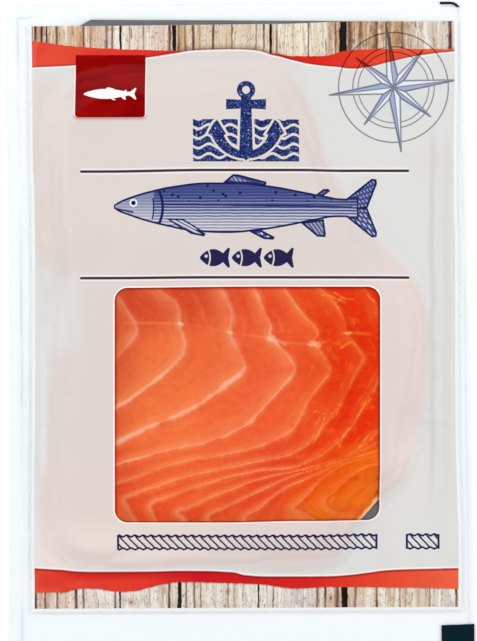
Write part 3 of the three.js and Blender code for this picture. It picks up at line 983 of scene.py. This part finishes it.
def printed_colour(place, x, y, window, field, marks, weld):
    panel_top, panel_foot = profile(x, PANEL_TOP), profile(x, PANEL_FOOT)
    top_wave, foot_wave = profile(x, TOP_WAVE), profile(x, FOOT_WAVE)

    # Planks, with the shadow of the panel's edge on them, and the red waves over them. The waves
    # are darker next to the panel, and their other edges are torn.
    above, below = y - panel_top, panel_foot - y
    warm = grain(place, 0.06, 0.18, 2.0)
    red_foot = x.between(-62, -50) * x.between(12, -10) * y.between(-60, -70)
    red = painted(ramp(along_print(x), WAVE_REDS), [
        ((208, 34, 26), 0.4 * warm.between(0.4, 0.65) * x.between(40, 10)),
        ((200, 22, 32), 0.65 * below.between(3.4, 0.8) * red_foot),
        ((136, 12, 14), 0.9 * below.between(1.0, 0.2) * below.between(-0.5, -0.3)),
    ])
    torn = 0.5 * (noise(stretched(place, 1.0, 0.3), 1.1, 3.0) - 0.5)
    colour = painted(plank_colour(place, x, y), [
        ((104, 64, 48), 0.42 * above.between(2.3, 0.3) * y.between(70, 75)),
        ((112, 50, 40), 0.5 * (y + torn - foot_wave).between(-0.5, 0.0) * y.between(-60, -70)),
        (red, ink_edge(top_wave - y + torn) * ink_edge(y - foot_wave + torn)),
        ((128, 20, 20), 0.62 * above.between(0.85, 0.2) * above.between(-0.5, -0.3)),
    ])

    # The panel is warmer where the film lies on the fish.
    on_pile = read_attribute(place, "backed")[0].between(-1.6, 2.4)
    on_pile = on_pile.most(x.between(-50, -60) * y.between(8, 30) * y.between(84, 76))
    on_pile = on_pile.most(0.8 * y.between(76, 81) * x.between(-56, -50) * x.between(24, 14))
    on_pile = on_pile.most(0.8 * y.between(-40, -48) * x.between(-64.5, -62.5) * x.between(-50, -60))
    on_pile = on_pile * (1 - 0.8 * x.between(-48, -54) * y.between(-12, -2) * y.between(22, 12))
    # Painted light: the panel is painted lighter at its lower left and lower right, where the film slopes
    # down off the pile and would be shaded.
    low_left = y.between(-56, -71) * x.between(26, -34)
    low_right = y.between(-24, -40) * y.between(-60, -48) * x.between(45, 51) * x.between(64, 54)
    # A soft fold runs down the panel's right side, and the film is drawn flat beside it. Their
    # shade is painted on the panel as two grey lines.
    upright = y.between(66, 58) * y.between(-62, -36)
    fold = x - 62.4 + 2.4 * (grain(place, 0.01, 0.05, 1.0) - 0.5)
    panel_depth = (panel_top - y).least(y - panel_foot)
    panel = painted(on_pile.mix((216, 216, 214), (216, 206, 202)), [
        ((206, 200, 192), 0.3 * noise(place, 0.03, 2.0).between(0.45, 0.75)),
        ((222, 206, 203), 0.8 * on_pile * y.between(-34, -44).most(x.between(44, 48))),
        ((236, 222, 217), 0.55 * low_left.most(0.6 * low_right)),
        ((202, 202, 201), 0.75 * abs(fold).between(1.6, 0.1) * upright),
        ((211, 211, 210), 0.8 * abs(fold - 4.8).between(1.7, 0.7) * upright),
        # Painted highlight: a lighter strip down the left, where the film bends over the board's edge.
        ((223, 222, 221), 0.8 * abs(x + 62.9).between(1.7, 0.5) * y.between(4, -8) * y.between(-52, -40)),
        ((250, 247, 244), 0.85 * panel_depth.between(0.7, 0.25)),
    ])

    # The dark red tab that hangs from the top wave, with a small fish on it.
    tab = plate_depth(x, y, **TAB).least(88.2 - y)
    tab_red = warm.between(0.35, 0.7).mix((126, 1, 4), (150, 8, 9))
    cast = (tab + 1.1).between(-0.2, 0.9) * y.between(69.0, 68.0)
    small_body, small_fins, _, _ = salmon_figure(x, y, **TAB_FISH)
    on_panel = ink_edge(panel_depth)
    colour = painted(colour, [
        (panel, ink_edge(panel_depth, 0.45)),
        ((180, 112, 118), 0.6 * cast * on_panel),
        ((250, 236, 232), 0.8 * ink_edge(tab + 0.32) * y.between(67.6, 68.4) * on_panel),
        (tab_red, ink_edge(tab)),
        ((246, 238, 236), ink_edge(small_body.most(small_fins))),
    ])

    # Navy figures, worn as if printed from a wood block, and two dark rules with pale flanks.
    wear = noise(place, 1.5, 3.0)
    navy = wear.between(0.42, 0.6).mix((22, 32, 88), (54, 74, 130))
    colour = colour.blend(navy, anchor_ink(x, y) * wear.between(0.72, 0.62))
    colour = engraved_salmon(colour, place, x, y, wear)
    left = x.between(-10, -42)
    upper_rule = abs(y - RULES[0] + 0.45 * left - 0.1 * x.between(10, 40))
    rules = upper_rule.least(abs(y - RULES[1] + 0.25 * left))
    rule_span = (x - RULE_ENDS[0]).least(RULE_ENDS[1] - x)

    # The compass, in a thin ink that darkens what is under it, and the white beyond the print.
    lines, shades, arms, disc = compass_inks(x, y)
    inside = ink_edge(field)
    clouded = (weld * (field + 1.2).between(0.0, -0.4)).mix((250, 253, 255), (150, 166, 186))
    return painted(colour, [
        ((38, 34, 78), small_fish_ink(x, y).most(rope_ink(x, y)) * wear.between(0.8, 0.7)),
        ((240, 234, 233), 0.7 * ink_edge((1.0 - rules).least(rule_span), 0.4)),
        ((60, 50, 58), ink_edge((0.42 - rules).least(rule_span))),
        ((208, 213, 214), 0.6 * disc * on_panel),
        ((228, 232, 238), 0.7 * arms * on_panel),
        ((180, 186, 218), 0.97 * shades * inside, "MULTIPLY"),
        ((146, 150, 164), 0.95 * lines * inside, "MULTIPLY"),
        ((252, 241, 235), ink_edge(window + KEYLINE)),
        # Dark red inside the window: a painted shadow of the print's edge on the flesh, shown where the rim
        # covers it.
        ((120, 22, 10), ink_edge(window)),
        (clouded, 1 - inside),
        (MARK_INK, marks),
    ])


def anchor_ink(x, y):
    """An anchor over rows of waves, in bold strokes."""
    x, y = x - ANCHOR[0], y - ANCHOR[1]
    side = abs(x)
    shank = (1.7 + 0.03 * (6 - y) - side).least(8.4 - y).least(y + 11.6)
    eye = ring_depth(x, y - 10.0, 2.1, 1.7)
    stock = (6.4 - side).least(1.35 + 0.05 * side - abs(y - 5.4))
    arms = (1.9 + 0.10 * (y + 4).least(0.0) - abs(far(x, y + 1.4) - 9.6)).least(-3.0 - y)
    fluke = facet_depth(side, y, (6.4, -4.2), (9.3, -5.6), (12.2, -4.0), (10.4, -0.6), (9.2, 0.4))
    point = facet_depth(side, y, (-1, -12.8), (0, -12.8), (2.4, -10.2), (0, -9.0), (-1, -9.0))
    anchor = reduce(Socket.most, (shank, eye, stock, arms, fluke, point))
    swell = y - 0.7 * (x * (math.tau / 6.8)).math("SINE")
    rows = stripe_depth(swell + 0.3, 3.1, 2.22).least(17.0 - side).least(0.6 - y).least(y + 13.0)
    return ink_edge(anchor.most(rows.least(-0.75 - anchor)))


def engraved_salmon(colour, place, x, y, wear):
    """A salmon like a wood engraving: a navy outline filled with lines, with its fins rayed."""
    body, fins, u, v = salmon_figure(x, y, **ENGRAVING)
    unit = ENGRAVING["length"] / 100
    flipper = facet_depth(u, v, *FLIPPER) * unit
    depth = body.most(fins).most(flipper)
    on_fins, on_flipper = ink_edge(fins), ink_edge(flipper)
    fin = (ink_edge(-0.1 - body) * on_fins * (1 - on_flipper)).most(on_flipper)

    # Lines fill the body, thick on its back and thin on its belly. The fins have rays.
    wobble = 0.22 * (noise(place, 0.3, 1.0) - 0.5)
    thickness = 0.14 + 0.40 * v.between(-7.0, 8.0)
    lines = ink_edge(thickness * 0.95 - (y + wobble).math("PINGPONG", 0.475), 0.2)
    lines = lines * (1 - 0.6 * u.between(15.5, 14.5))
    tail_rays = stripe_depth(v / (u - 78.0), 0.11, 0.05) * 14.0
    fin_rays = stripe_depth(u + 0.7 * v, 1.5, 0.62)
    flipper_rays = stripe_depth(u + 1.9 * v, 2.4, 0.9) * 0.5
    rays = (tail_rays * (u - 86.0).math("SIGN")).most(fin_rays * (86.0 - u).math("SIGN"))
    rays = rays * (1 - on_flipper) + flipper_rays * on_flipper
    lines = lines * (1 - fin) + ink_edge(rays, 0.2) * fin
    spots = place.node("TexVoronoi", {"Vector": place, "Scale": 0.42}, output="Distance")
    spots = ink_edge((0.21 - spots) * 2.4, 0.2) * v.between(1.8, 2.8) * u.between(17, 19) * (1 - fin)

    # The gill, the cheek, the mouth and the side line are single strokes.
    gill = ((u - 6.0) * (u - 6.0) + v * v * 0.85).root()
    gill = (0.5 - abs(gill - 12.4)).least((u - 11.0) * 0.6)
    cheek = ((u - 2.0) * (u - 2.0) + v * v * 0.7).root()
    cheek = (0.26 - abs(cheek - 13.0)).least((u - 9.0) * 0.5).least(4.0 - abs(v + 0.6))
    mouth = (0.32 - abs(v + 0.35 + 0.2 * u)).least(7.4 - u)
    side_line = (0.24 - abs(v - 1.0 + 0.008 * (u - 18.0))).least(90.0 - u).least(u - 19.0)
    strokes = gill.most(cheek).most(mouth).most(side_line) * unit
    strokes = strokes.least(-0.1 - flipper).most(0.24 - abs(flipper))
    edges = ink_edge(0.66 - depth).most(ink_edge(strokes)).most(ink_edge(0.26 - abs(body)) * on_fins)
    eye = far(u - 7.4, v - 1.7) * unit
    inked = painted(v.between(-8.0, 7.0).mix((202, 201, 208), (146, 152, 184)), [
        ((60, 70, 128), lines),
        ((22, 28, 80), spots),
        ((28, 32, 86), edges * wear.between(0.8, 0.66)),
        ((226, 224, 228), ink_edge(1.3 - eye)),
        ((24, 26, 72), ink_edge(0.72 - eye)),
    ])
    return colour.blend(inked, ink_edge(depth))


def small_fish_ink(x, y):
    """Three small fish in a row."""
    x, y = x - SMALL_FISH[0], y - SMALL_FISH[1]
    u = (x + 15.0).math("MODULO", 10.2)
    along = (u - 4.2) / 4.5
    body = 2.75 * (1 - along * along) - abs(y)
    tail = facet_depth(u, abs(y), (6.2, 0.2), (7.4, -0.1), (9.0, -0.1), (9.6, 3.0), (8.9, 3.2))
    eye = 0.5 - far(u - 1.95, y - 0.5)
    gill = 0.24 - abs(u - 3.2 + 0.09 * y * y)
    fish = body.most(tail).least(-1.0 * eye.most(gill))
    return ink_edge(fish.least(15.0 - abs(x)))


def rope_ink(x, y):
    """A long piece of twisted rope drawn in thin strokes, and a short one beside it."""
    y = y - ROPE_HEIGHT
    span = (41.5 - abs(x - 2.9)).most(5.1 - abs(x - 59.3))
    twist = x + 1.15 * (y * (math.pi / 5.0)).math("SINE") + 0.3 * y
    strands = stripe_depth(twist, 2.6, 0.72).least(2.2 - abs(y))
    edge = 0.34 - abs(abs(y) - 2.1 - 0.25 * (x * (math.tau / 2.6)).math("SINE"))
    ends = (0.36 - abs(span)).least(2.4 - abs(y))
    return ink_edge(strands.most(edge).least(span).most(ends))


def weld_lines(place, x, to_edge):
    """The lines that show in the clear margin: the cut edge, and where the weld begins."""
    slow = grain(place, 0.012, 0.012, 1.0)
    patchy = grain(place, 0.03, 0.03, 2.0).between(0.35, 0.6)
    weld_end = 1.4 + 2.7 * x.between(-45, -72) + 1.2 * (slow - 0.45)
    weld_line = abs(to_edge - weld_end).between(0.6, 0.1) * (0.3 + 0.7 * patchy) * abs(x).between(60, 70)
    return weld_line.most(0.5 * to_edge.between(0.7, 0.1))


def front_film_material():
    material, place = new_material("printed film")
    x, y, window, field, covered, marks = print_layers(place)
    to_edge = read_attribute(place, "backed")[2]
    lines = weld_lines(place, x, to_edge)
    colour = printed_colour(place, x, y, window, field, marks, lines)
    ripple = noise(place, 0.3, 3.0)
    normal = place.node("Bump", {"Height": ripple, "Strength": 0.1, "Distance": 0.0004})
    ink = place.node("BsdfPrincipled", {
        "Base Color": colour, "Roughness": 0.5, "Specular IOR Level": 0.0, "Normal": normal,
        "Coat Weight": 1.0, "Coat Roughness": 0.14, "Coat IOR": 1.17})
    clear = clear_film(place, 0.07)
    haze = (0.16 + 0.14 * x.between(-60, -68)) * lines * (1 - ink_edge(field + 0.3))
    # Painted shadow: a faint dark red line just inside the window, where the print's edge shades the flesh.
    rim = (0.35 - 0.2 * x.between(-36, -38)) * ink_edge(0.2 - abs(window - 0.3), 0.3)
    covered = covered.most(marks).most(haze).most(rim)
    finish_material(place.node("MixShader", {0: covered, 1: clear, 2: ink}))
    return material


def backing_material():
    """The film's inner side: white ink behind the print, and dark behind the register marks."""
    material, place = new_material("film backing")
    *_, covered, marks = print_layers(place)
    white = noise(place, 0.2, 3.0).mix((232, 232, 230), (244, 244, 243))
    ink = place.node("BsdfPrincipled", {"Base Color": white.blend(MARK_INK, marks), "Roughness": 0.45})
    clear = clear_film(place, 0.07)
    finish_material(place.node("MixShader", {0: covered.most(marks), 1: clear, 2: ink}))
    return material


front_film, x, y, film, backed = front_film_shape()
write_points(front_film, x, y, film)
write_attribute(front_film, "backed", *backed)
front_film.data.materials.append(front_film_material())
front_film.data.materials.append(backing_material())
apply_modifier(front_film, "SOLIDIFY", thickness=FRONT_THICKNESS * MM, offset=1.0)
for polygon in front_film.data.polygons:
    polygon.material_index = int(polygon.normal.z < 0)
smooth_by_angle(front_film)
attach(front_film, "root")
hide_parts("front_film")


# ---------------------------------------------------------------------------------------------
# Studio. A white table, soft light from the left and the right, and a camera that looks straight
# down on the pack from a long way off.

CAMERA_HEIGHT = 0.9
VIEW_LENGTH = 205.8
AIM = (0.0, 2.73)
MEAN_HEIGHT = 4.0
ROOM_LIGHT = 0.985
TABLE_TONES = (0.94, 0.96)


def floor_material():
    material, place = new_material("white table")
    low, high = ((tone, tone, tone, 1.0) for tone in TABLE_TONES)
    tone = place.node("Mix", {0: noise(place, 0.02), 6: low, 7: high}, output=2, data_type="RGBA")
    finish_material(place.node("BsdfPrincipled", {"Base Color": tone, "Roughness": 0.8}))
    return material


empty_scene_selection()
bpy.ops.mesh.primitive_plane_add(size=6, location=(0, 0, -0.05 * MM))
floor = bpy.context.object
floor.name = "table"
floor.data.materials.append(floor_material())


def soft_light(name, place, aim, size, power):
    light = bpy.data.objects.new(name, bpy.data.lights.new(name, "AREA"))
    light.data.shape = "DISK"
    light.data.size = size
    light.data.energy = power
    light.location = place
    towards = np.array(aim) - np.array(place)
    pitch = math.atan2(math.hypot(towards[0], towards[1]), -towards[2])
    light.rotation_euler = (pitch, 0, math.atan2(-towards[0], towards[1]))
    bpy.context.collection.objects.link(light)
    return light


soft_light("key light", (-0.75, 0.35, 0.7), (0, 0, 0), 0.7, 3.6)
soft_light("fill light", (0.8, 0.1, 0.7), (0, 0, 0), 0.7, 2.9)
soft_light("back light", (0.0, 0.95, 0.6), (0, 0, 0), 0.9, 0.9)

# The room is white, a little darker near the floor, with the dark camera stand overhead.
world = bpy.data.worlds.new("studio")
world.use_nodes = True
world.node_tree.nodes.clear()
room = Socket(world.node_tree)
direction = room.node("TexCoord", output="Generated")
height = direction.node("SeparateXYZ", {0: direction}, output="Z")
tone = room.node("ValToRGB", {0: height}, stops=[
    (0.0, (0.62, 0.62, 0.62, 1.0)), (0.4, (1.0, 1.0, 1.0, 1.0)), (0.8, (1.0, 1.0, 1.0, 1.0)),
    (0.92, (0.08, 0.08, 0.08, 1.0))])
background = room.node("Background", {"Color": tone, "Strength": ROOM_LIGHT})
world_out = world.node_tree.nodes.new("ShaderNodeOutputWorld")
world.node_tree.links.new(background.output, world_out.inputs["Surface"])
bpy.context.scene.world = world
bpy.context.scene.view_settings.view_transform = "Standard"
bpy.context.scene.cycles.transparent_max_bounces = 32

camera = bpy.data.objects.new("camera", bpy.data.cameras.new("camera"))
camera.data.sensor_fit = "VERTICAL"
camera.data.sensor_height = 24.0
camera.data.lens = 24.0 * (CAMERA_HEIGHT / MM - MEAN_HEIGHT) / VIEW_LENGTH
camera.location = (AIM[0] * MM, AIM[1] * MM, CAMERA_HEIGHT)
camera.rotation_euler = (0, 0, PRINT_TURN)
bpy.context.collection.objects.link(camera)
bpy.context.scene.camera = camera
